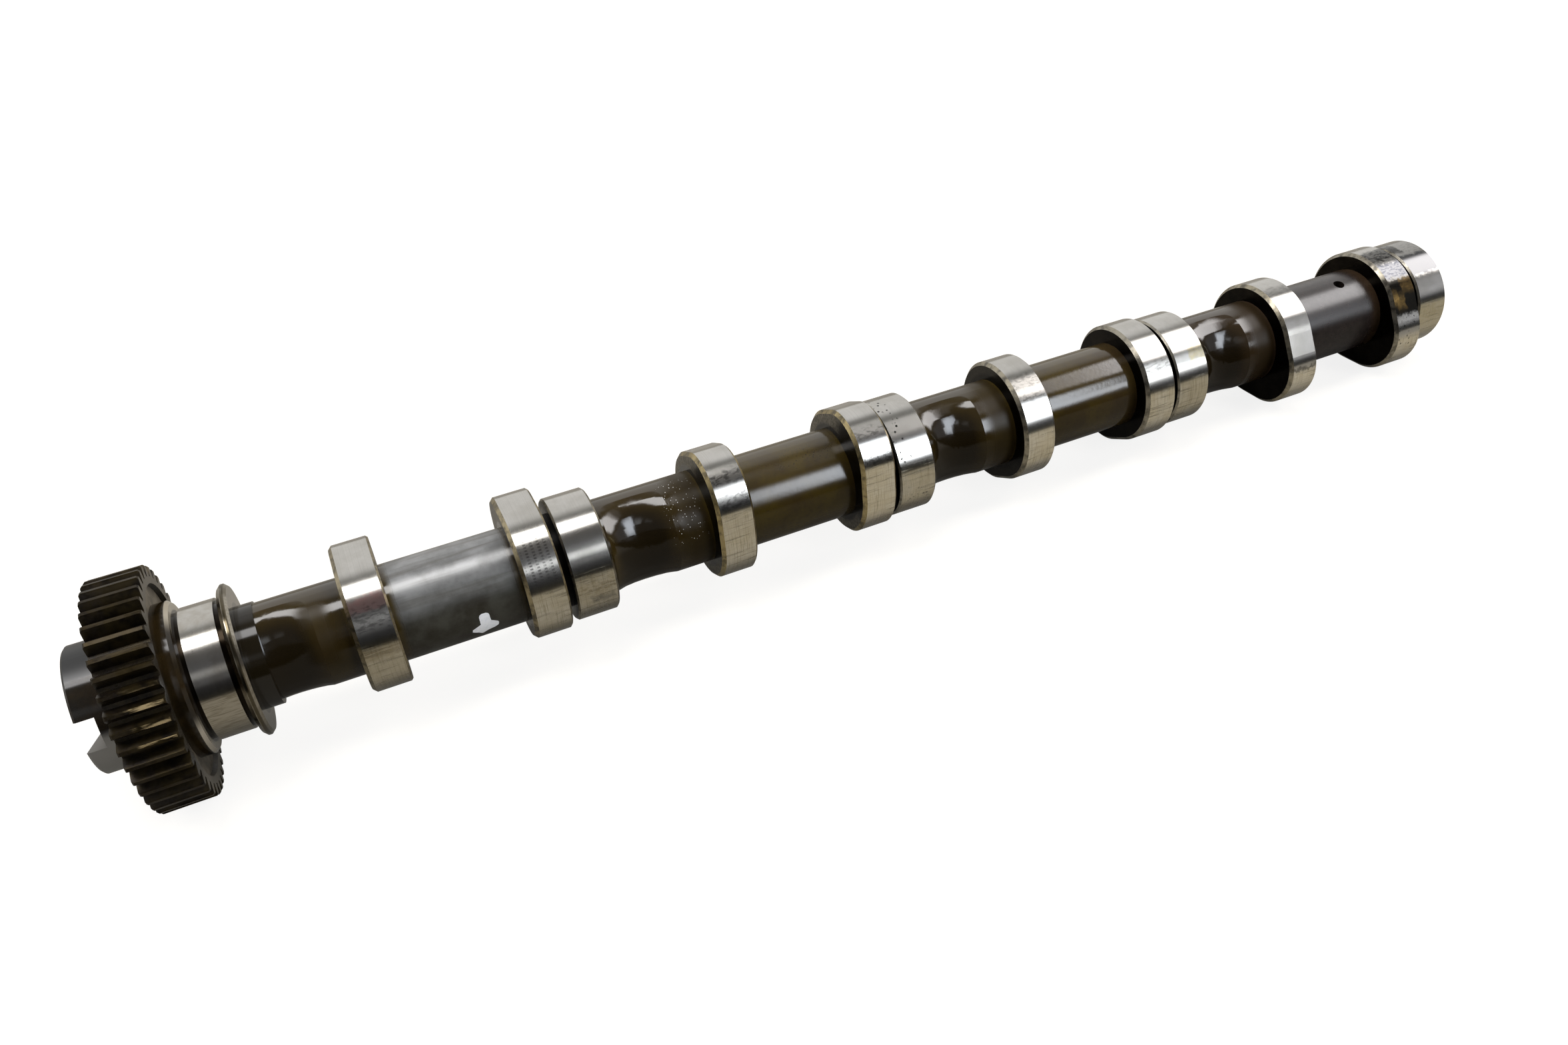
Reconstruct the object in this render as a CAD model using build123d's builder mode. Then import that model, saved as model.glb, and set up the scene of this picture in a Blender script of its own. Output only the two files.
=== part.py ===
from build123d import *
from math import cos, pi, radians, sin
import os

# Assembled camshaft for a four-cylinder engine, in millimetres.
# The shaft axis is +X and the origin is the centre of the thrust journal on that axis.
# Angles about the axis are measured from +Z (up) towards -Y (the side seen in front).

# Shaft tube
TUBE_R = 12.0
TUBE_WALL = 5.0
TUBE_INSET = 0.6

# Bearing journals
CYLINDERS = 4
PITCH = 88.0
JOURNAL_WALL = 3.75
JOURNAL_W = 10.6
JOURNAL_CHAMFER = 0.5
FIRST_JOURNAL_X = 86.2

# Cam lobes, two for each cylinder
BASE_R = 16.8
LIFT = 3.5
NOSE_R = 12.8
LOBE_W = 9.5
LOBE_CHAMFER = 0.9
LOBE_BACK_CHAMFER = 0.5
LOBE_GAP = 1.75
LOBE_SPACING = 39.35
LOBE_ANGLES = (-63.0, 27.0, -153.0, 117.0)

# Thrust journal with its two flanges, turned in one piece with the drive dog
THRUST_W = 7.5
GROOVE_W = 1.35
GROOVE_DEPTH = 0.75
FLANGE_R = 18.25
FRONT_FLANGE_W = 3.8
REAR_FLANGE_W = 2.2
FLANGE_CHAMFER = 0.8
BOSS_R = 12.4
BOSS_W = 3.9
SPIGOT_L = 24.0
SPIGOT_CHAMFER = 1.0

# Drive dog at the gear end, split by an offset slot
DOG_R = 15.0
DOG_L = 8.3
DOG_CHAMFER = 0.5
SLOT_W = 7.4
SLOT_OFFSET = -3.1
SLOT_DEPTH = 4.2
SLOT_ANGLE = -29.7

# Spur gear pressed on behind the front flange
TEETH = 42
MODULE = 1.25
GEAR_W = 12.2
GEAR_RECESS = 1.1
GEAR_RIM_R = 23.0
TOOTH_DEPTH = 2.8
TOOTH_TURN = 1.0
TOOTH_TIP_SHARE = 0.22
TOOTH_ROOT_SHARE = 0.74
TOOTH_CHAMFER = 0.4
RECESS_CHAMFER = 0.3

# Dents pressed into the tube behind each journal
DENT_START = 6.2
DENT_L = 16.8
DENT_DEPTH = 3.3
DENT_ANGLE = 69.0
DENT_ABOVE = 74.0
DENT_BELOW = 98.0
DENT_SKEW = 0.95
DENT_FULLNESS = 0.9
DENT_SHOULDER = 1.3
DENT_STATIONS = 7
DENT_POINTS = 13
DENT_OVERRUN = 0.1
DENT_CUT_R = 6.0

# Small parts of the tube
OIL_HOLE_R = 1.6
OIL_HOLE_BACK = 26.2
OIL_HOLE_ANGLE = 11.0
PLUG_L = 8.0
PLUG_INSET = 1.2
PLUG_CHAMFER = 0.6

os.makedirs("parts", exist_ok=True)

# Places along the shaft that several pieces share
bore_r = TUBE_R - TUBE_WALL
journal_r = TUBE_R + JOURNAL_WALL
rear_flange_start = THRUST_W / 2 + GROOVE_W
rear_flange_end = rear_flange_start + REAR_FLANGE_W
tube_start = rear_flange_end + BOSS_W
front_flange_end = -THRUST_W / 2 - GROOVE_W
front_flange_start = front_flange_end - FRONT_FLANGE_W
gear_rear = front_flange_start + GEAR_RECESS
gear_front = gear_rear - GEAR_W
dog_end = gear_front - DOG_L
journal_centres = [FIRST_JOURNAL_X + PITCH * n for n in range(CYLINDERS)]
shaft_end = journal_centres[-1] + JOURNAL_W / 2
tube_end = shaft_end - TUBE_INSET


def around(radius, angle):
    """Point in the Y-Z plane at an angle from +Z towards -Y."""
    return (-radius * sin(radians(angle)), radius * cos(radians(angle)))


def dent_radius(share, turn):
    """Radius of the dented surface: share runs along the dent, turn is degrees off its deepest line."""
    along = sin(pi * share**DENT_SKEW) ** DENT_FULLNESS
    spread = DENT_BELOW if turn > 0 else DENT_ABOVE
    across = abs(cos(radians(90 * turn / spread))) ** DENT_SHOULDER
    return TUBE_R + DENT_OVERRUN - (DENT_DEPTH + DENT_OVERRUN) * along * across


def dent_outline(share):
    """Points along the dented surface, and three points of an arc clear of the tube."""
    step = (DENT_ABOVE + DENT_BELOW) / (DENT_POINTS - 1)
    turns = [n * step - DENT_ABOVE for n in range(DENT_POINTS)]
    inner = [around(dent_radius(share, turn), DENT_ANGLE + turn) for turn in turns]
    outer = [around(TUBE_R + DENT_CUT_R, DENT_ANGLE + turn) for turn in (turns[0], 0, turns[-1])]
    return inner, outer


# Hollow shaft tube with a dent behind each journal
with BuildPart() as shaft_tube:
    with BuildSketch(Plane.YZ.offset(tube_start)):
        Circle(TUBE_R)
        Circle(bore_r, mode=Mode.SUBTRACT)
    extrude(amount=tube_end - tube_start)
    for centre in [0.0] + journal_centres[:-1]:
        for n in range(DENT_STATIONS):
            share = n / (DENT_STATIONS - 1)
            inner, outer = dent_outline(share)
            with BuildSketch(Plane.YZ.offset(centre + DENT_START + DENT_L * share)):
                with BuildLine():
                    Spline(*inner)
                    Line(inner[-1], outer[2])
                    ThreePointArc(*outer)
                    Line(outer[0], inner[0])
                make_face()
        loft(mode=Mode.SUBTRACT)
    hole_centre = (journal_centres[-1] - OIL_HOLE_BACK, 0, 0)
    with BuildSketch(Plane(origin=hole_centre, x_dir=(1, 0, 0), z_dir=(0, *around(1, OIL_HOLE_ANGLE)))):
        Circle(OIL_HOLE_R)
    extrude(amount=TUBE_R + DENT_OVERRUN, mode=Mode.SUBTRACT)
shaft_tube.part.label = "shaft_tube"
export_step(shaft_tube.part, "parts/shaft_tube.step")


def round_ring(plane, radius, width, chamfer_l):
    """Ring on the tube with both outer edges bevelled."""
    with BuildPart() as ring:
        with BuildSketch(plane):
            Circle(radius)
            Circle(TUBE_R, mode=Mode.SUBTRACT)
        extrude(amount=width)
        chamfer(ring.edges().filter_by(GeomType.CIRCLE).group_by(SortBy.RADIUS)[-1], length=chamfer_l)
    return ring


def cam_ring(plane, angle):
    """Cam lobe: a base circle and a nose circle joined by tangent flanks."""
    with BuildPart() as lobe:
        with BuildSketch(plane):
            Circle(BASE_R)
            with Locations(around(BASE_R + LIFT - NOSE_R, angle)):
                Circle(NOSE_R)
            make_hull()
            Circle(TUBE_R, mode=Mode.SUBTRACT)
        extrude(amount=LOBE_W)
        front = lobe.faces().sort_by(Axis.X)[0].outer_wire().edges()
        chamfer(front, length=LOBE_CHAMFER)
        back = lobe.faces().sort_by(Axis.X)[-1].outer_wire().edges()
        chamfer(back, length=LOBE_BACK_CHAMFER)
    return lobe


# Bearing journals, and the two cam lobes in front of each one
for n, centre in enumerate(journal_centres, start=1):
    journal_front = centre - JOURNAL_W / 2
    journal = round_ring(Plane.YZ.offset(journal_front), journal_r, JOURNAL_W, JOURNAL_CHAMFER)
    journal.part.label = f"journal_{n}"
    export_step(journal.part, f"parts/journal_{n}.step")
    near_lobe = journal_front - LOBE_GAP - LOBE_W
    for side, front in ((2 * n - 1, near_lobe - LOBE_SPACING), (2 * n, near_lobe)):
        lobe = cam_ring(Plane.YZ.offset(front), LOBE_ANGLES[n - 1])
        lobe.part.label = f"cam_lobe_{side}"
        export_step(lobe.part, f"parts/cam_lobe_{side}.step")

# Thrust journal, flanges, gear seat, drive dog and spigot, turned in one piece
with BuildPart() as drive_end:
    groove_r = journal_r - GROOVE_DEPTH
    half_thrust = THRUST_W / 2
    with BuildSketch(Plane.XZ):
        with BuildLine():
            Polyline(
                (dog_end, 0),
                (dog_end, DOG_R - DOG_CHAMFER),
                (dog_end + DOG_CHAMFER, DOG_R),
                (front_flange_start, DOG_R),
                (front_flange_start, FLANGE_R),
                (front_flange_end - FLANGE_CHAMFER, FLANGE_R),
                (front_flange_end, FLANGE_R - FLANGE_CHAMFER),
                (front_flange_end, groove_r),
                (-half_thrust, groove_r),
                (-half_thrust, journal_r),
                (half_thrust, journal_r),
                (half_thrust, groove_r),
                (rear_flange_start, groove_r),
                (rear_flange_start, FLANGE_R - FLANGE_CHAMFER),
                (rear_flange_start + FLANGE_CHAMFER, FLANGE_R),
                (rear_flange_end - FLANGE_CHAMFER, FLANGE_R),
                (rear_flange_end, FLANGE_R - FLANGE_CHAMFER),
                (rear_flange_end, BOSS_R),
                (tube_start, BOSS_R),
                (tube_start, bore_r),
                (tube_start + SPIGOT_L - SPIGOT_CHAMFER, bore_r),
                (tube_start + SPIGOT_L, bore_r - SPIGOT_CHAMFER),
                (tube_start + SPIGOT_L, 0),
                close=True,
            )
        make_face()
    revolve(axis=Axis.X)
    slot_turn = radians(SLOT_ANGLE)
    slot_plane = Plane(origin=(dog_end, 0, 0), x_dir=(0, cos(slot_turn), sin(slot_turn)), z_dir=(1, 0, 0))
    with BuildSketch(slot_plane):
        with Locations((0, SLOT_OFFSET)):
            Rectangle(2 * FLANGE_R, SLOT_W)
    extrude(amount=SLOT_DEPTH, mode=Mode.SUBTRACT)
drive_end.part.label = "drive_end"
export_step(drive_end.part, "parts/drive_end.step")

# Outline of the gap between two gear teeth, with curved flanks
tip_r = MODULE * (TEETH + 2) / 2
root_r = tip_r - TOOTH_DEPTH
clear_r = tip_r + TOOTH_DEPTH
pitch_r = MODULE * TEETH / 2
tooth_step = 360 / TEETH
gap_root = tooth_step * (1 - TOOTH_ROOT_SHARE) / 2
gap_pitch = tooth_step / 4
gap_tip = tooth_step * (1 - TOOTH_TIP_SHARE) / 2
with BuildSketch() as tooth_gap:
    with BuildLine():
        ThreePointArc(around(root_r, -gap_root), around(root_r, 0), around(root_r, gap_root))
        ThreePointArc(around(root_r, gap_root), around(pitch_r, gap_pitch), around(tip_r, gap_tip))
        Line(around(tip_r, gap_tip), around(clear_r, gap_tip))
        Line(around(clear_r, gap_tip), around(clear_r, -gap_tip))
        Line(around(clear_r, -gap_tip), around(tip_r, -gap_tip))
        ThreePointArc(around(tip_r, -gap_tip), around(pitch_r, -gap_pitch), around(root_r, -gap_root))
    make_face()

# Spur gear with a shallow recess in each face
with BuildPart() as timing_gear:
    with BuildSketch(Plane.XZ):
        with BuildLine():
            Polyline(
                (gear_front + GEAR_RECESS, DOG_R),
                (gear_front + GEAR_RECESS, GEAR_RIM_R - RECESS_CHAMFER),
                (gear_front, GEAR_RIM_R),
                (gear_front, tip_r - TOOTH_CHAMFER),
                (gear_front + TOOTH_CHAMFER, tip_r),
                (gear_rear - TOOTH_CHAMFER, tip_r),
                (gear_rear, tip_r - TOOTH_CHAMFER),
                (gear_rear, GEAR_RIM_R),
                (gear_rear - GEAR_RECESS, GEAR_RIM_R - RECESS_CHAMFER),
                (gear_rear - GEAR_RECESS, DOG_R),
                close=True,
            )
        make_face()
    revolve(axis=Axis.X)
    with BuildSketch(Plane.YZ.offset(gear_front)):
        with PolarLocations(0, TEETH, start_angle=TOOTH_TURN):
            add(tooth_gap.sketch)
    extrude(amount=GEAR_W, mode=Mode.SUBTRACT)
timing_gear.part.label = "timing_gear"
export_step(timing_gear.part, "parts/timing_gear.step")

# Plug that closes the far end of the tube
with BuildPart() as end_plug:
    with BuildSketch(Plane.YZ.offset(tube_end - PLUG_INSET)):
        Circle(bore_r)
    extrude(amount=-PLUG_L)
    chamfer(end_plug.faces().sort_by(Axis.X)[-1].edges(), length=PLUG_CHAMFER)
end_plug.part.label = "end_plug"
export_step(end_plug.part, "parts/end_plug.step")
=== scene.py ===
import bpy
import math
from mathutils import Matrix, Vector


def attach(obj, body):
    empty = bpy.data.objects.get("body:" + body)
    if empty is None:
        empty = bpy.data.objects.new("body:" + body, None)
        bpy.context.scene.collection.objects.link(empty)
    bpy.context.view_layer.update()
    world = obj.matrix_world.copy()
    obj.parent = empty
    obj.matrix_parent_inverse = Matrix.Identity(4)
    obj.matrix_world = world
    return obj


# Looks of the assembled camshaft, in metres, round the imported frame.
# The shaft runs along +X. Turns about it are in degrees towards -Y, the side seen in front,
# and are counted from a line TURN_ZERO degrees from +Z. Places in materials are in millimetres.

MM = 0.001
TURN_ZERO = 17.0
FULL_TURN = 360.0

# Camera of the photograph, found from the outlines of the rings
CAMERA_PLACE = Vector((42.7, -243.3, 200.7)) * MM
CAMERA_LOOKS = Vector((0.2939, 0.7204, -0.6281))
CAMERA_RIGHT = Vector((0.9084, -0.4150, -0.0510))
CAMERA_LENS = 28.93
CAMERA_SENSOR = 36.0

# Shaft sizes in millimetres
GEAR_TIP_R = 27.5
GEAR_RIM_R = 23.0
GEAR_FRONT = -20.0
FIRST_JOURNAL_X = 86.2
PITCH = 88.0

# Spans along x on the tube: bare steel, the dull stretch before the last lobe, the less glossy
# stretch before the fourth lobe, where each small oil bubble has a painted white glint, pits, and
# the dull zone before the first lobe
BARE = (41.0, 69.0)
LAST = (305.0, 331.0)
PLAIN = (128.0, 157.0)
BUBBLE_GLINTS = (108.5, 116.5)
TUBE_PITS = (141.0, 157.0)
FIRST_DULL = (19.5, 26.5)

# Roughness added to the bare and to the dull last stretch
BARE_ROUGH = 0.27
LAST_ROUGH = 0.25

# Spans that repeat, counted from the journal before them: the stretch with the dents, painted
# darker as painted shade, the dull crust at its end, and the gap between the second lobe and the
# next journal, painted black as painted shade
SHADED_DENTS = (3.0, 31.5)
CRUSTED = (24.5, 34.0)
SHADED_GAP = (80.4, 83.2)

# Along x on the drive end: the dog's end, the front flange and its lip, painted light at top and
# bottom, the journal, the grooves beside it, painted near-black as shade, and the rear flange's
# back and rim
DOG_END = -9.2
FRONT_FLANGE = (DOG_END, -4.8)
FRONT_LIP = (-5.85, -5.0)
THRUST_JOURNAL = (-3.9, 3.9)
GROOVES = (-5.3, 5.2)
FLANGE_BACK = 7.0
REAR_RIM = (6.0, FLANGE_BACK)

# Oily film and gold glints, painted as highlights, on the gear's teeth: spans along x, and the
# glints' turns
TOOTH_FILM = (GEAR_FRONT, -15.3)
TOOTH_GOLD_GLINT = (-15.5, -8.0)
TOOTH_GOLD_GLINT_TURNS = (34.0, 60.0)

# Marking paint: radius, columns, and rows of turn, left edge and right edge
PAINT_R = 12.05
PAINT_STEPS = 4
PAINT_ROWS = (
    (67.0, 58.7, 59.8),
    (68.5, 58.2, 60.3),
    (71.0, 58.0, 60.5),
    (76.0, 58.0, 60.5),
    (80.0, 58.0, 60.6),
    (82.5, 58.0, 61.4),
    (85.0, 57.0, 62.1),
    (88.0, 55.9, 62.3),
    (92.0, 55.8, 62.1),
    (95.0, 56.5, 61.2),
    (97.0, 57.2, 59.6),
    (101.0, 57.9, 58.3),
)

# Colours of the stains on the rings
BLACK = (0.008, 0.007, 0.005, 1.0)
DARK = (0.1, 0.095, 0.085, 1.0)
BROWN = (0.22, 0.17, 0.09, 1.0)
PINK = (0.66, 0.36, 0.34, 1.0)
YELLOW = (0.5, 0.43, 0.24, 1.0)
AMBER = (0.42, 0.27, 0.09, 1.0)
BLUISH = (0.04, 0.042, 0.05, 1.0)
PALE = (0.095, 0.095, 0.097, 1.0)

# Oil film low on each ring, tinted and brightened as a painted reflection of the pale floor: the
# brightness of that painted reflection against the first rings, the turn where it starts, how
# golden the bevels are and how dry the top and bottom of the end faces are
RING_FILM_AND_FLOOR_REFLECTION = {
    "cam_lobe_1": (1.12, 50.0, 0.55, 0.5),
    "cam_lobe_2": (1.25, 50.0, 0.7, 0.5),
    "journal_1": (1.1, 50.0, 0.25, 0.2),
    "cam_lobe_3": (1.5, 38.0, 1.0, 0.8),
    "cam_lobe_4": (1.75, 37.0, 1.0, 0.8),
    "journal_2": (1.4, 50.0, 0.1, 0.2),
    "cam_lobe_5": (1.75, 52.0, 0.3, 0.1),
    "cam_lobe_6": (1.7, 52.0, 0.2, 0.0),
    "journal_3": (1.4, 52.0, 0.15, 0.0),
    "cam_lobe_7": (1.9, 76.0, 0.35, 0.0),
    "cam_lobe_8": (1.8, 76.0, 0.2, 0.0),
    "journal_4": (1.5, 52.0, 0.15, 0.0),
}

# Columns of small marks: span along x and span of turns, and their spacing
RING_DOTS = {"cam_lobe_2": (71.0, 77.6, 2.0, 46.0)}
NO_DOTS = (0.0, 0.0, 0.0, 0.0)
DOT_STEP_X = 1.6
DOT_STEP_TURN = 2.6

# Stains on each ring, and a few patches of painted shade or painted highlight on the reflected
# light bands: span along x, span of turns, softness, how patchy or PITTED, share, colour
# EDGE_SOFT is how soft their ends along x are, in millimetres
PITTED = 2.0
EDGE_SOFT = 0.3
RING_MARKS = {
    "cam_lobe_1": (
        (29.0, 41.0, 15.0, 26.0, 3.0, 0.2, 0.7, PINK),
        (29.0, 41.0, 22.0, 42.0, 3.0, 1.0, 0.5, DARK),
        (29.0, 41.0, 53.0, 66.0, 4.0, 0.3, 0.6, BROWN),
    ),
    "journal_1": (
        (84.5, 90.5, 79.0, 86.0, 3.0, 0.5, 0.8, DARK),
        (80.0, 92.0, 60.0, 76.0, 4.0, 0.9, 0.5, BROWN),
    ),
    "cam_lobe_3": (
        (117.0, 129.0, 9.0, 18.0, 3.0, 1.0, 0.8, DARK),
        # Painted shade: this solid dark band dims the light band reflected on the lobe.
        (117.0, 129.0, 26.0, 35.0, 2.0, 0.3, 0.85, DARK),
    ),
    "cam_lobe_4": (
        (156.0, 169.0, 10.0, 17.0, 3.0, 1.0, 0.6, DARK),
        (156.0, 169.0, 28.0, 39.0, 3.0, 0.8, 0.75, DARK),
    ),
    "journal_2": (
        (168.0, 173.5, -34.0, 54.0, 4.0, PITTED, 0.95, BLACK),
        (170.0, 178.0, 74.0, 90.0, 4.0, PITTED, 0.8, DARK),
    ),
    "cam_lobe_5": (
        (205.0, 217.0, 0.0, 13.0, 3.0, 0.5, 0.6, DARK),
        (205.0, 217.0, 20.0, 27.0, 3.0, 1.0, 0.5, DARK),
    ),
    "cam_lobe_6": ((244.0, 257.0, 26.0, 38.0, 4.0, 1.0, 0.4, DARK),),
    "journal_3": ((262.0, 269.0, 21.0, 36.0, 4.0, 0.3, 0.7, YELLOW),),
    "cam_lobe_7": (
        (293.0, 305.0, -14.0, 0.0, 3.0, 0.4, 0.5, DARK),
        (293.0, 305.0, 72.5, 75.5, 1.2, 0.2, 0.8, DARK),
    ),
    "cam_lobe_8": (
        (332.0, 344.5, -24.0, -4.0, 3.0, 0.25, 0.98, BLACK),
        # Painted highlight: between the black stains, the band where the light is reflected keeps a
        # dim bluish tone.
        (332.0, 344.5, -2.0, 20.0, 3.0, 0.1, 0.97, BLUISH),
        (332.0, 344.5, 19.0, 57.0, 2.5, 0.0, 0.98, BLACK),
        (333.8, 336.4, 34.0, 44.0, 7.0, 0.3, 0.8, AMBER),
        (335.6, 338.6, 38.0, 49.0, 7.0, 0.3, 0.5, AMBER),
        (338.4, 342.8, 25.0, 33.0, 7.0, 0.3, 0.5, AMBER),
        (333.0, 343.0, 60.0, 88.0, 5.0, PITTED, 0.8, BLACK),
    ),
    "journal_4": (
        (344.0, 357.0, -40.0, -7.0, 3.0, 0.2, 0.65, DARK),
        (344.0, 348.5, -34.0, -12.0, 4.0, 0.2, 1.0, BLACK),
        # Painted shade: this grey patch dims the light band reflected on the journal, so it does
        # not burn out.
        (344.0, 357.0, -6.0, 23.0, 3.0, 0.0, 0.97, PALE),
        (344.0, 357.0, 55.0, 96.0, 6.0, 0.4, 0.5, YELLOW),
    ),
}

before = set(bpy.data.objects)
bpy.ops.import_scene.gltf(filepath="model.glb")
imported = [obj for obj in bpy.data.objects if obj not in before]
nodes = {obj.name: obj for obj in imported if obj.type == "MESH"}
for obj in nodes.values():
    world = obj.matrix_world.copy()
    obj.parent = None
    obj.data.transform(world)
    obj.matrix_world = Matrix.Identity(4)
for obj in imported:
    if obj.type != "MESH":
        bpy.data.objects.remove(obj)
bpy.context.view_layer.update()


class Graph:
    """Adds nodes to a node tree. Every method returns an output socket."""

    def __init__(self, tree):
        self.tree = tree
        tree.nodes.clear()

    def feed(self, socket, value):
        if isinstance(value, bpy.types.NodeSocket):
            self.tree.links.new(value, socket)
        else:
            socket.default_value = value

    def add(self, kind, inputs=None, output=0, **settings):
        node = self.tree.nodes.new(kind)
        for name, value in settings.items():
            setattr(node, name, value)
        for slot, value in (inputs or {}).items():
            self.feed(node.inputs[slot], value)
        return node.outputs[output]

    def math(self, operation, *values):
        return self.add("ShaderNodeMath", dict(enumerate(values)), operation=operation)

    def split(self, vector):
        node = self.tree.nodes.new("ShaderNodeSeparateXYZ")
        self.feed(node.inputs[0], vector)
        return node.outputs

    def join(self, x, y, z):
        return self.add("ShaderNodeCombineXYZ", {0: x, 1: y, 2: z})

    def turn_of(self, y, z):
        """Turn about the shaft's axis, between -180 and 180 degrees."""
        turn = self.math("ARCTAN2", self.times(y, -1.0), z)
        turn = self.math("MULTIPLY_ADD", turn, math.degrees(1.0), -TURN_ZERO)
        return self.math("WRAP", turn, FULL_TURN / 2, -FULL_TURN / 2)

    def rise(self, value, low, high):
        """0 below low, 1 above high, smooth between."""
        sockets = {"Value": value, "From Min": low, "From Max": high}
        return self.add("ShaderNodeMapRange", sockets, interpolation_type="SMOOTHSTEP")

    def fall(self, value, low, high):
        """1 below low, 0 above high, smooth between."""
        return self.rise(self.times(value, -1.0), -high, -low)

    def window(self, value, low, high, soft):
        """1 between low and high, with soft edges."""
        start = self.rise(value, low - soft, low + soft)
        stop = self.rise(value, high - soft, high + soft)
        return self.math("SUBTRACT", start, stop)

    def noise(self, vector, scale, detail=3.0, roughness=0.6):
        sockets = {"Vector": vector, "Scale": scale, "Detail": detail, "Roughness": roughness}
        return self.add("ShaderNodeTexNoise", sockets)

    def cells(self, vector, scale):
        """Distance to the nearest of many scattered points."""
        return self.add("ShaderNodeTexVoronoi", {"Vector": vector, "Scale": scale})

    def mix(self, share, first, second):
        """Colour between first and second."""
        node = self.tree.nodes.new("ShaderNodeMix")
        node.data_type = "RGBA"
        self.feed(node.inputs[0], share)
        self.feed(node.inputs[6], first)
        self.feed(node.inputs[7], second)
        return node.outputs[2]

    def blend(self, share, first, second):
        """Number between first and second."""
        node = self.tree.nodes.new("ShaderNodeMix")
        self.feed(node.inputs[0], share)
        self.feed(node.inputs[2], first)
        self.feed(node.inputs[3], second)
        return node.outputs[0]

    def times(self, first, second):
        return self.math("MULTIPLY", first, second)

    def most(self, first, second):
        return self.math("MAXIMUM", first, second)


def rgb(red, green, blue):
    return (red, green, blue, 1.0)


class Surface(Graph):
    """Material with the shaft's own coordinates ready to use."""

    def __init__(self, name):
        self.material = bpy.data.materials.new(name)
        self.material.use_nodes = True
        super().__init__(self.material.node_tree)
        self.out = self.tree.nodes.new("ShaderNodeOutputMaterial")
        self.shader = self.tree.nodes.new("ShaderNodeBsdfPrincipled")
        self.tree.links.new(self.shader.outputs[0], self.out.inputs[0])
        place = self.add("ShaderNodeTexCoord", output="Object")
        scale = {0: place, 3: 1 / MM}
        self.place = self.add("ShaderNodeVectorMath", scale, operation="SCALE")
        self.x, self.y, self.z = self.split(self.place)
        self.turn = self.turn_of(self.y, self.z)
        squares = self.math("ADD", self.math("POWER", self.y, 2.0), self.math("POWER", self.z, 2.0))
        self.radius = self.math("SQRT", squares)
        normal = self.add("ShaderNodeTexCoord", output="Normal")
        self.normal_x = self.split(normal)[0]

    def stretched(self, in_x, round_x):
        """Noise with one scale along the shaft and another round it."""
        round_y, round_z = self.times(self.y, round_x), self.times(self.z, round_x)
        return self.noise(self.join(self.times(self.x, in_x), round_y, round_z), 1.0)

    def inside(self, x, x_span, x_soft, turn, turn_span, soft):
        """1 in a patch of the shaft's side, given by a span of x and a span of turns."""
        return self.times(self.window(x, *x_span, x_soft), self.window(turn, *turn_span, soft))

    def marked(self, color, marks):
        """Paints the ragged stains of RING_MARKS on a colour, and the few patches among them that
        are painted shade or painted highlight.
        """
        if not marks:
            return color
        ragged = self.noise(self.place, 0.6, 4.0)
        x = self.math("MULTIPLY_ADD", ragged, 2.4, self.math("SUBTRACT", self.x, 1.2))
        turn = self.math("MULTIPLY_ADD", ragged, 12.0, self.math("SUBTRACT", self.turn, 6.0))
        specks = self.rise(self.stretched(0.7, 1.6), 0.47, 0.6)
        pits = self.fall(self.cells(self.place, 0.75), 0.18, 0.3)
        pits = self.times(pits, self.rise(ragged, 0.4, 0.52))
        for x_low, x_high, low, high, soft, patchy, share, stain in marks:
            here = self.inside(x, (x_low, x_high), EDGE_SOFT, turn, (low, high), soft)
            cover = pits if patchy == PITTED else self.blend(patchy, 1.0, specks)
            here = self.times(here, cover)
            color = self.mix(self.times(here, share), color, stain)
        return color

    def dotted(self, x_low, x_high, low, high):
        """Columns of small dark marks round the shaft."""
        columns = self.math("SINE", self.times(self.x, math.tau / DOT_STEP_X))
        rows = self.math("SINE", self.times(self.turn, math.tau / DOT_STEP_TURN))
        dots = self.times(self.rise(columns, -0.3, 0.7), self.rise(rows, -0.6, 0.5))
        here = self.inside(self.x, (x_low, x_high), EDGE_SOFT, self.turn, (low, high), 5.0)
        patchy = self.rise(self.stretched(0.5, 0.5), 0.25, 0.6)
        return self.times(self.times(here, dots), patchy)

    def bumps(self, height, distance, strength=1.0):
        sockets = {"Height": height, "Distance": distance * MM, "Strength": strength}
        return self.add("ShaderNodeBump", sockets)

    def finish(self, color, roughness, metallic=1.0, bump=None, **sockets):
        self.feed(self.shader.inputs["Base Color"], color)
        self.feed(self.shader.inputs["Roughness"], roughness)
        self.feed(self.shader.inputs["Metallic"], metallic)
        if bump is not None:
            self.feed(self.shader.inputs["Normal"], bump)
        for name, value in sockets.items():
            self.feed(self.shader.inputs[name.replace("_", " ")], value)
        return self.material


# Studio: what the polished steel sees round it, as turns about the shaft
# Each stop is a turn in degrees and the brightness seen there
ROOM = (
    (-179, rgb(0.4, 0.38, 0.34)),
    (-112, rgb(0.92, 0.91, 0.88)),
    (-58, rgb(1.0, 1.0, 1.0)),
    (-50, rgb(0.78, 0.78, 0.78)),
    (-42, rgb(0.3, 0.3, 0.29)),
    (-36, rgb(0.2, 0.2, 0.19)),
    (-8, rgb(0.11, 0.105, 0.1)),
    (22, rgb(0.11, 0.11, 0.115)),
    (50, rgb(0.12, 0.12, 0.125)),
    (56, rgb(0.025, 0.025, 0.026)),
    (78, rgb(0.012, 0.012, 0.011)),
    (82, rgb(0.42, 0.39, 0.33)),
    (179, rgb(0.4, 0.38, 0.34)),
)
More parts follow.
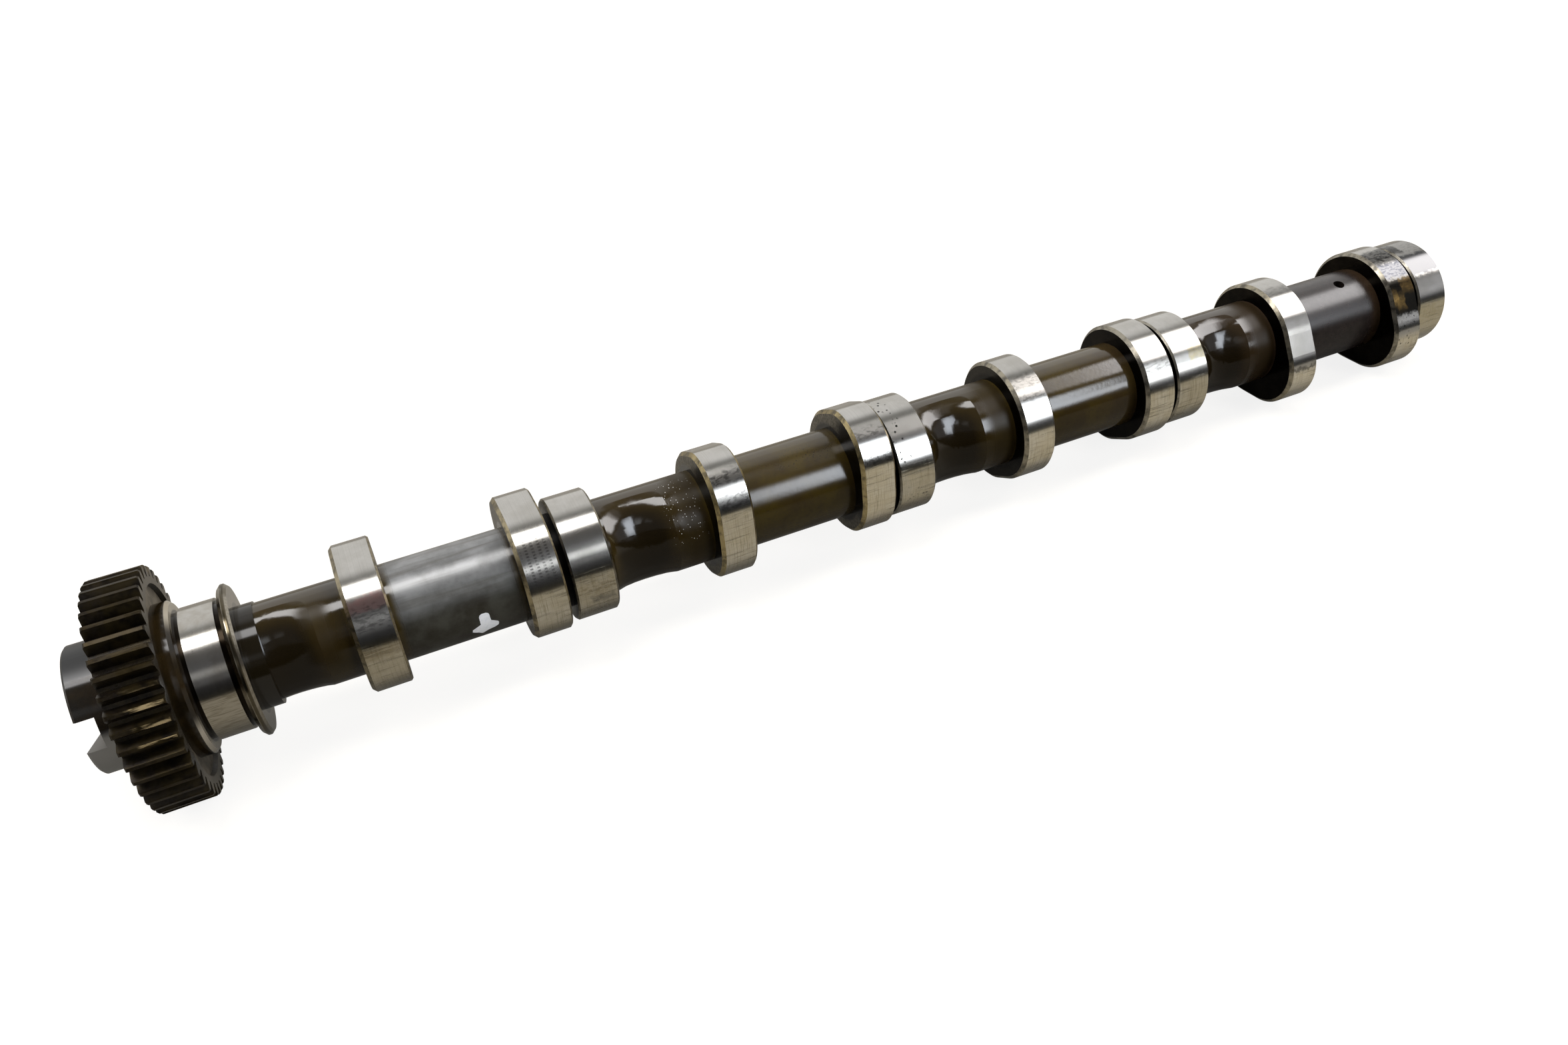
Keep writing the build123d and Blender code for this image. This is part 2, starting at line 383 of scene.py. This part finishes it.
# Soft boxes: span along x, its softness, span of turns, its softness, brightness
SOFT_BOXES = (
    (-0.75, 0.19, 0.02, -30.0, -12.0, 1.5, rgb(9.0, 8.9, 8.9)),
    (0.54, 0.9, 0.03, -34.0, 10.0, 4.0, rgb(8.0, 7.8, 7.8)),
    (0.47, 0.54, 0.03, -30.0, 6.0, 4.0, rgb(2.6, 2.5, 2.5)),
    (0.31, 0.47, 0.03, -31.0, 2.0, 4.0, rgb(0.45, 0.45, 0.45)),
    (0.25, 0.31, 0.015, 19.0, 43.0, 7.0, rgb(6.5, 6.9, 7.6)),
    (0.31, 0.54, 0.03, 22.0, 53.0, 6.0, rgb(8.0, 8.6, 9.4)),
    (0.54, 0.62, 0.02, 40.0, 52.0, 3.0, rgb(6.0, 6.3, 6.6)),
    (0.04, 0.2, 0.04, 29.0, 40.0, 4.0, rgb(1.3, 1.35, 1.4)),
    (-0.3, -0.08, 0.04, 29.0, 40.0, 4.0, rgb(0.35, 0.35, 0.35)),
    (0.3, 0.9, 0.04, 20.0, 60.0, 5.0, rgb(0.34, 0.34, 0.36)),
)
FLOOR_BACK = 4.0
FLOOR_FRONT = -0.26
FLOOR_LEFT = -1.5
FLOOR_RIGHT = 2.5
FLOOR_COLOR = rgb(0.2, 0.187, 0.16)
FLOOR_WHITE = 0.84
FLOOR_GLOSS = 0.05
# Where the floor touches the gear and the last lobe, along x, and how far out it touches the lobe
GEAR_REST_X = -14.0
LAST_LOBE_X = 338.0
LAST_LOBE_R = 16.8


def studio_world():
    """World that shows white to the camera and the studio's soft boxes to the steel."""
    world = bpy.data.worlds.new("studio")
    bpy.context.scene.world = world
    world.use_nodes = True
    g = Graph(world.node_tree)
    direction = g.add("ShaderNodeTexCoord", output="Generated")
    x, y, z = g.split(direction)
    turn = g.turn_of(y, z)
    share = g.math("MULTIPLY_ADD", turn, 1 / FULL_TURN, 0.5)
    ramp = g.tree.nodes.new("ShaderNodeValToRGB")
    g.feed(ramp.inputs[0], share)
    stops = ramp.color_ramp.elements
    while len(stops) < len(ROOM):
        stops.new(1.0)
    for stop, (angle, color) in zip(stops, ROOM):
        stop.position = angle / FULL_TURN + 0.5
        stop.color = color
    light = ramp.outputs[0]
    for x_low, x_high, x_soft, low, high, soft, color in SOFT_BOXES:
        across = g.window(x, x_low, x_high, x_soft)
        here = g.times(across, g.window(turn, low, high, soft))
        tinted = g.mix(here, rgb(0, 0, 0), color)
        light = g.add("ShaderNodeVectorMath", {0: light, 1: tinted}, operation="ADD")
    room = g.add("ShaderNodeBackground", {"Color": light})
    white = g.add("ShaderNodeBackground", {"Color": rgb(1, 1, 1), "Strength": 1.0})
    seen = g.add("ShaderNodeLightPath", output="Is Camera Ray")
    shown = g.add("ShaderNodeMixShader", {0: seen, 1: room, 2: white})
    out = g.tree.nodes.new("ShaderNodeOutputWorld")
    g.feed(out.inputs[0], shown)


def floor_material():
    """Pale floor: white to the camera, pale to the steel, and it keeps the soft shadow."""
    material = bpy.data.materials.new("floor")
    material.use_nodes = True
    g = Graph(material.node_tree)
    paths = g.tree.nodes.new("ShaderNodeLightPath").outputs
    mirror = g.most(paths["Is Glossy Ray"], paths["Is Transmission Ray"])
    to_camera = g.times(paths["Is Camera Ray"], FLOOR_WHITE)
    glow = g.math("ADD", to_camera, g.times(mirror, FLOOR_GLOSS))
    matte = g.add("ShaderNodeBsdfDiffuse", {"Color": FLOOR_COLOR})
    lit = g.add("ShaderNodeEmission", {"Color": rgb(1.0, 1.0, 1.0), "Strength": glow})
    both = g.add("ShaderNodeAddShader", {0: matte, 1: lit})
    out = g.tree.nodes.new("ShaderNodeOutputMaterial")
    g.feed(out.inputs[0], both)
    return material


def floor():
    """Floor under the gear and the last lobe, on which the shaft rests."""
    low_gear = -GEAR_TIP_R
    slope = (low_gear + LAST_LOBE_R) / (GEAR_REST_X - LAST_LOBE_X)
    corners = []
    front, back = (FLOOR_LEFT, FLOOR_RIGHT), (FLOOR_RIGHT, FLOOR_LEFT)
    for y, ends in ((FLOOR_FRONT, front), (FLOOR_BACK, back)):
        for x in ends:
            corners.append((x, y, (low_gear + slope * (x / MM - GEAR_REST_X)) * MM))
    mesh = bpy.data.meshes.new("floor")
    mesh.from_pydata(corners, [], [(0, 1, 2, 3)])
    piece = bpy.data.objects.new("floor", mesh)
    bpy.context.scene.collection.objects.link(piece)
    mesh.materials.append(floor_material())


def camera():
    """Camera at the photograph's place and angle."""
    data = bpy.data.cameras.new("camera")
    data.lens = CAMERA_LENS
    data.sensor_width = CAMERA_SENSOR
    data.sensor_fit = "HORIZONTAL"
    data.clip_start = 0.01
    eye = bpy.data.objects.new("camera", data)
    bpy.context.scene.collection.objects.link(eye)
    back = -CAMERA_LOOKS.normalized()
    up = back.cross(CAMERA_RIGHT).normalized()
    right = up.cross(back)
    turn = Matrix((right, up, back)).transposed()
    eye.matrix_world = Matrix.Translation(CAMERA_PLACE) @ turn.to_4x4()
    bpy.context.scene.camera = eye


def ground_steel(name, marks, dots, shine, film_start, golden, dryness):
    """Ground ring: fine-lined steel, warm oil film low down brightened as a painted reflection of
    the pale floor and darker underneath as painted shade, golden bevels, oily end faces painted
    black as painted shade.
    """
    s = Surface(name)
    fine = s.stretched(14.0, 0.03)
    long_fine = s.stretched(4.0, 0.05)
    grain = s.stretched(0.25, 3.2)
    brushed = s.stretched(5.0, 0.16)
    stain = s.noise(s.place, 0.11, 4.0)
    streaks = s.stretched(0.08, 1.1)
    steel = s.mix(s.rise(stain, 0.35, 0.7), rgb(0.52, 0.505, 0.475), rgb(0.44, 0.425, 0.39))
    steel = s.mix(s.times(s.rise(fine, 0.45, 0.75), 0.3), steel, rgb(0.3, 0.29, 0.27))
    # Painted reflection: the warm tint low down stands in for the pale floor reflected there; the
    # streaks in it are real dirt.
    low = s.window(s.turn, film_start, 170.0, 4.0)
    film = s.mix(s.rise(stain, 0.3, 0.7), rgb(0.5, 0.47, 0.395), rgb(0.46, 0.415, 0.31))
    film = s.mix(s.times(s.rise(grain, 0.42, 0.7), 0.4), film, rgb(0.3, 0.27, 0.2))
    film = s.mix(s.times(s.rise(brushed, 0.5, 0.68), 0.55), film, rgb(0.21, 0.18, 0.11))
    # Painted reflection and shade: the film is brightened per ring as the floor's reflection, and
    # darkened towards the underside as painted shade.
    floor_reflection_and_shade = s.blend(s.rise(s.turn, 80.0, 100.0), shine, 0.4 * shine + 0.3)
    film = s.add("ShaderNodeVectorMath", {0: film, 3: floor_reflection_and_shade}, operation="SCALE")
    steel = s.mix(low, steel, film)
    dirt = s.times(low, s.rise(streaks, 0.52, 0.7))
    steel = s.mix(s.times(dirt, 0.5), steel, rgb(0.16, 0.135, 0.09))
    steel = s.marked(steel, marks)
    steel = s.mix(s.times(s.dotted(*dots), 0.8), steel, rgb(0.13, 0.125, 0.115))
    slant = s.math("ABSOLUTE", s.normal_x)
    bevel = s.window(slant, 0.4, 0.87, 0.06)
    patchy = s.rise(s.noise(s.place, 0.45, 3.0), 0.32, 0.6)
    gold = s.mix(patchy, rgb(0.1, 0.078, 0.035), rgb(0.42, 0.33, 0.15))
    worn_edge = s.mix(patchy, rgb(0.09, 0.085, 0.075), rgb(0.3, 0.285, 0.25))
    steel = s.mix(s.times(bevel, 0.9), steel, s.mix(golden, worn_edge, gold))
    # Painted shade: the end faces are near-black, as oil and as the shaded floor and tube they
    # reflect; their dry top and bottom stay grey.
    face = s.rise(slant, 0.88, 0.96)
    oil = s.rise(s.noise(s.place, 0.25, 3.0), 0.3, 0.75)
    black = s.mix(oil, rgb(0.005, 0.004, 0.003), rgb(0.016, 0.013, 0.009))
    away = s.math("SUBTRACT", 1.0, s.window(s.turn, -8.0, 98.0, 9.0))
    dry = s.times(s.rise(s.radius, 13.0, 14.2), away)
    mottled = s.rise(s.noise(s.place, 1.4, 3.0), 0.35, 0.65)
    grey = s.mix(mottled, rgb(0.3, 0.28, 0.235), rgb(0.15, 0.135, 0.11))
    dry = s.times(dry, dryness)
    black = s.mix(dry, black, grey)
    color = s.mix(face, steel, black)
    rough = s.math("MULTIPLY_ADD", fine, 0.12, 0.1)
    rough = s.math("ADD", rough, s.times(dirt, 0.2))
    rough = s.blend(bevel, rough, 0.3)
    rough = s.blend(face, rough, s.blend(dry, 0.2, 0.5))
    lines = s.math("ADD", fine, s.times(long_fine, 0.6))
    return s.finish(color, rough, bump=s.bumps(lines, 0.004, 0.35))


def tube_steel():
    """Tube: dark brown oil varnish, glossy in the dents and painted darker there as painted shade,
    bare and blotchy near the gear end, a painted white glint on each small oil bubble, and painted
    black shade in the gap before each journal.
    """
    s = Surface("tube_varnish")
    blotch = s.noise(s.place, 0.12, 5.0)
    fine = s.noise(s.place, 0.9, 4.0)
    along = s.stretched(0.03, 0.5)
    varnish = s.mix(s.rise(blotch, 0.3, 0.7), rgb(0.04, 0.027, 0.004), rgb(0.026, 0.017, 0.005))
    varnish = s.mix(s.rise(s.x, 215.0, 290.0), varnish, rgb(0.034, 0.021, 0.012))
    varnish = s.mix(s.times(s.rise(fine, 0.5, 0.75), 0.35), varnish, rgb(0.02, 0.013, 0.005))
    from_journal = s.math("WRAP", s.math("SUBTRACT", s.x, FIRST_JOURNAL_X), PITCH, 0.0)
    # Painted shade: the dents are painted darker, and near-black where they sink furthest.
    dent_shade = s.times(s.window(from_journal, *SHADED_DENTS, 0.5), s.rise(s.x, -2.0, 0.0))
    varnish = s.mix(s.times(dent_shade, 0.7), varnish, rgb(0.016, 0.01, 0.003))
    deep_dent_shade = s.fall(s.radius, 10.0, 11.9)
    varnish = s.mix(s.times(deep_dent_shade, 0.85), varnish, rgb(0.006, 0.004, 0.0015))
    lower = s.rise(s.turn, 5.0, 62.0)
    bare = s.mix(s.rise(blotch, 0.35, 0.65), rgb(0.2, 0.202, 0.2), rgb(0.12, 0.121, 0.118))
    bare = s.mix(s.times(s.rise(along, 0.45, 0.7), 0.55), bare, rgb(0.06, 0.052, 0.04))
    brown = s.mix(s.rise(blotch, 0.3, 0.65), rgb(0.058, 0.056, 0.046), rgb(0.026, 0.023, 0.016))
    bare = s.mix(lower, bare, brown)
    first = s.window(s.x, *BARE, 1.0)
    last = s.window(s.x, *LAST, 2.0)
    color = s.mix(first, varnish, bare)
    purple = s.mix(s.rise(fine, 0.35, 0.7), rgb(0.018, 0.013, 0.011), rgb(0.01, 0.007, 0.006))
    color = s.mix(last, color, purple)
    specks = s.cells(s.place, 1.3)
    # Painted highlight: each small oil bubble is painted with a white glint.
    bubble_glints = s.inside(s.x, BUBBLE_GLINTS, 1.0, s.turn, (-24.0, 62.0), 6.0)
    bubble_glints = s.times(bubble_glints, s.fall(specks, 0.09, 0.16))
    color = s.mix(bubble_glints, color, rgb(0.6, 0.6, 0.58))
    pits = s.inside(s.x, TUBE_PITS, 3.0, s.turn, (-32.0, 14.0), 6.0)
    pits = s.times(pits, s.fall(specks, 0.12, 0.2))
    color = s.mix(pits, color, rgb(0.004, 0.003, 0.002))
    # Painted shade: the tube in the narrow gap before each journal is painted near-black.
    gap = s.window(from_journal, *SHADED_GAP, EDGE_SOFT)
    crusted = s.times(s.window(from_journal, *CRUSTED, 2.5), s.rise(s.x, 60.0, 70.0))
    first_dull = s.inside(s.x, FIRST_DULL, 2.0, s.turn, (-6.0, 70.0), 8.0)
    crusted = s.most(crusted, first_dull)
    color = s.mix(gap, color, rgb(0.003, 0.002, 0.001))
    satin = s.most(first, last)
    plain = s.times(s.window(s.x, *PLAIN, 1.0), 0.05)
    rough = s.math("ADD", plain, s.blend(satin, 0.07, s.blend(last, BARE_ROUGH, LAST_ROUGH)))
    rough = s.math("MULTIPLY_ADD", fine, 0.07, rough)
    rough = s.most(rough, s.times(s.most(crusted, gap), 0.34))
    height = s.math("ADD", fine, s.times(blotch, 2.0))
    shine = s.blend(s.rise(s.turn, 44.0, 56.0), 0.56, 0.2)
    shine = s.blend(s.most(gap, s.times(crusted, 0.8)), shine, 0.05)
    relief = s.bumps(height, 0.02, 0.5)
    metal = s.times(first, 0.35)
    return s.finish(color, rough, metallic=metal, bump=relief, Specular_IOR_Level=shine)


def gear_steel():
    """Gear: dark brown oily teeth with thin worn edges and gold glints painted as highlights, and
    faces that are beige above and below and dark in the middle.
    """
    s = Surface("gear_oiled")
    blotch = s.noise(s.place, 0.3, 4.0)
    fine = s.noise(s.place, 1.6, 4.0)
    olive = s.mix(s.rise(blotch, 0.35, 0.68), rgb(0.024, 0.017, 0.006), rgb(0.005, 0.0035, 0.002))
    film = s.times(s.window(s.x, *TOOTH_FILM, 0.4), s.rise(fine, 0.3, 0.7))
    olive = s.mix(s.times(film, 0.5), olive, rgb(0.022, 0.017, 0.014))
    face = s.rise(s.math("ABSOLUTE", s.normal_x), 0.8, 0.95)
    web = s.mix(s.rise(blotch, 0.35, 0.65), rgb(0.17, 0.145, 0.105), rgb(0.08, 0.066, 0.048))
    inner = s.times(face, s.fall(s.radius, GEAR_RIM_R - 1.0, GEAR_RIM_R))
    # The faces are beige above and below and dark in the middle.
    middle = s.window(s.turn, 0.0, 88.0, 14.0)
    web_bands = s.mix(middle, rgb(0.15, 0.135, 0.11), rgb(0.022, 0.018, 0.012))
    web_bands = s.mix(s.times(blotch, 0.5), web_bands, rgb(0.05, 0.042, 0.03))
    web = s.mix(inner, web_bands, web)
    color = s.mix(face, olive, web)
    tip = s.rise(s.radius, GEAR_TIP_R - 0.12, GEAR_TIP_R - 0.03)
    tip = s.times(tip, s.rise(s.stretched(0.2, 0.9), 0.42, 0.6))
    # Painted highlight: the gold on the tooth tips is only in the turns where glints show.
    gold = s.inside(s.x, TOOTH_GOLD_GLINT, 0.8, s.turn, TOOTH_GOLD_GLINT_TURNS, 5.0)
    worn = s.mix(gold, rgb(0.03, 0.023, 0.013), rgb(0.5, 0.38, 0.2))
    color = s.mix(s.times(tip, 0.8), color, worn)
    rough = s.math("MULTIPLY_ADD", fine, 0.25, 0.24)
    rough = s.blend(face, rough, s.blend(middle, 0.5, 0.25))
    shine = s.blend(s.rise(s.radius, GEAR_TIP_R - 0.5, GEAR_TIP_R - 0.1), 0.32, 0.1)
    relief = s.bumps(fine, 0.04, 0.5)
    return s.finish(color, rough, metallic=0.6, bump=relief, Specular_IOR_Level=shine)


def drive_steel():
    """Drive end: grey dog darkened as painted shade where the light band falls, oily front flange
    whose lip is painted light at top and bottom, bright journal warm beige low down as a painted
    floor reflection, beige rear flange, black boss, grooves painted near-black as painted shade.
    """
    s = Surface("drive_turned")
    blotch = s.noise(s.place, 0.2, 4.0)
    fine = s.noise(s.place, 1.4, 4.0)
    rings = s.stretched(12.0, 0.03)
    grain = s.stretched(0.25, 3.2)
    dog = s.mix(s.rise(fine, 0.3, 0.7), rgb(0.14, 0.14, 0.142), rgb(0.11, 0.108, 0.106))
    # Painted shade: the dog is darker over the turns where the light band is reflected.
    dog = s.mix(s.window(s.turn, -44.0, 8.0, 5.0), dog, rgb(0.055, 0.055, 0.055))
    dog = s.mix(s.rise(s.turn, 55.0, 62.0), dog, rgb(0.26, 0.26, 0.26))
    oily = s.mix(s.rise(blotch, 0.3, 0.7), rgb(0.005, 0.0035, 0.0015), rgb(0.016, 0.01, 0.0035))
    lower = s.window(s.turn, 7.0, 56.0, 3.0)
    dog = s.mix(s.times(lower, 0.95), dog, oily)
    steel = s.mix(s.rise(blotch, 0.35, 0.65), rgb(0.48, 0.465, 0.43), rgb(0.4, 0.375, 0.33))
    # Painted reflection: low down the journal is a warm beige that stands in for the pale floor it
    # reflects; the grain in it is real.
    low = s.window(s.turn, 52.0, 170.0, 6.0)
    tan_floor_reflection = s.mix(s.rise(grain, 0.4, 0.7), rgb(0.42, 0.385, 0.31), rgb(0.23, 0.2, 0.14))
    steel = s.mix(s.times(low, 0.85), steel, tan_floor_reflection)
    beige = s.mix(s.rise(fine, 0.3, 0.7), rgb(0.36, 0.33, 0.275), rgb(0.25, 0.225, 0.18))
    journal = s.window(s.x, *THRUST_JOURNAL, 0.1)
    front = s.window(s.x, *FRONT_FLANGE, 0.1)
    grooves = s.fall(s.radius, 15.2, 15.5)
    rim = s.times(s.window(s.x, *REAR_RIM, 0.15), s.rise(s.radius, 17.9, 18.1))
    rear = s.mix(s.times(rim, 0.9), beige, rgb(0.07, 0.056, 0.03))
    boss = s.times(s.rise(s.x, FLANGE_BACK, FLANGE_BACK + 0.2), s.fall(s.radius, 13.1, 13.6))
    rear = s.mix(boss, rear, rgb(0.007, 0.005, 0.002))
    past_dog = s.rise(s.x, DOG_END - 0.1, DOG_END + 0.1)
    color = s.mix(past_dog, dog, rear)
    color = s.mix(front, color, oily)
    # Painted light: the lip is painted beige only at its top and bottom, where light catches it.
    lip = s.times(s.window(s.x, *FRONT_LIP, 0.08), s.rise(s.radius, 15.6, 15.9))
    ends = s.math("SUBTRACT", 1.0, s.window(s.turn, -12.0, 70.0, 10.0))
    color = s.mix(s.times(s.times(lip, ends), 0.8), color, rgb(0.3, 0.265, 0.2))
    color = s.mix(journal, color, steel)
    # Painted shade: the grooves beside the journal are painted near-black.
    groove_shade = s.times(s.window(s.x, *GROOVES, 0.05), grooves)
    color = s.mix(groove_shade, color, rgb(0.012, 0.009, 0.006))
    rough = s.math("MULTIPLY_ADD", rings, 0.12, 0.1)
    rough = s.blend(s.fall(s.x, -4.2, -3.9), rough, 0.25)
    on_dog = s.fall(s.x, DOG_END - 0.1, DOG_END + 0.1)
    rough = s.blend(on_dog, rough, 0.38)
    filmed = s.most(boss, s.most(front, s.times(lower, on_dog)))
    rough = s.blend(filmed, rough, 0.11)
    relief = s.bumps(s.math("ADD", rings, s.times(fine, 0.5)), 0.006, 0.4)
    metal = s.blend(filmed, 1.0, 0.0)
    return s.finish(color, rough, metallic=metal, bump=relief, Specular_IOR_Level=0.35)


def plug_steel():
    """Plug of the far end: dull turned steel."""
    s = Surface("plug_turned")
    rings = s.noise(s.join(s.radius, 0.0, 0.0), 6.0)
    blotch = s.noise(s.place, 0.3, 4.0)
    color = s.mix(s.rise(blotch, 0.3, 0.7), rgb(0.3, 0.28, 0.25), rgb(0.16, 0.14, 0.11))
    rough = s.math("MULTIPLY_ADD", rings, 0.2, 0.25)
    return s.finish(color, rough, bump=s.bumps(rings, 0.01, 0.5))


def paint_white():
    """White marking paint, a little worn."""
    s = Surface("paint_white")
    worn = s.rise(s.noise(s.place, 1.2, 4.0), 0.35, 0.75)
    color = s.mix(worn, rgb(0.98, 0.98, 0.99), rgb(0.85, 0.87, 0.9))
    rough = s.blend(worn, 0.45, 0.6)
    return s.finish(color, rough, metallic=0.0, bump=s.bumps(worn, 0.02, 0.4))


def paint_dab():
    """Dab of marking paint on the bare stretch of the tube, built from PAINT_ROWS."""
    points, faces = [], []
    for n, (turn, left, right) in enumerate(PAINT_ROWS):
        angle = math.radians(turn + TURN_ZERO)
        for step in range(PAINT_STEPS + 1):
            x = left + (right - left) * step / PAINT_STEPS
            points.append(Vector((x, -PAINT_R * math.sin(angle), PAINT_R * math.cos(angle))) * MM)
    for n in range(len(PAINT_ROWS) - 1):
        for step in range(PAINT_STEPS):
            first = n * (PAINT_STEPS + 1) + step
            below = first + PAINT_STEPS + 1
            faces.append((first, below, below + 1, first + 1))
    mesh = bpy.data.meshes.new("paint_dab")
    mesh.from_pydata(points, [], faces)
    mesh.shade_smooth()
    piece = bpy.data.objects.new("paint_dab", mesh)
    bpy.context.scene.collection.objects.link(piece)
    mesh.materials.append(paint_white())
    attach(piece, "root")


def dress(node, material):
    """Gives a frame node its material."""
    piece = nodes[node]
    piece.data.materials.clear()
    piece.data.materials.append(material)


def dress_all():
    dress("shaft_tube", tube_steel())
    dress("drive_end", drive_steel())
    dress("timing_gear", gear_steel())
    dress("end_plug", plug_steel())
    for node in sorted(nodes):
        if node.startswith(("cam_lobe", "journal")):
            marks, dots = RING_MARKS.get(node, ()), RING_DOTS.get(node, NO_DOTS)
            steel = ground_steel("steel_" + node, marks, dots, *RING_FILM_AND_FLOOR_REFLECTION[node])
            dress(node, steel)


camera()
studio_world()
floor()
dress_all()
paint_dab()

bpy.context.scene.view_settings.view_transform = "Standard"
bpy.context.view_layer.update()
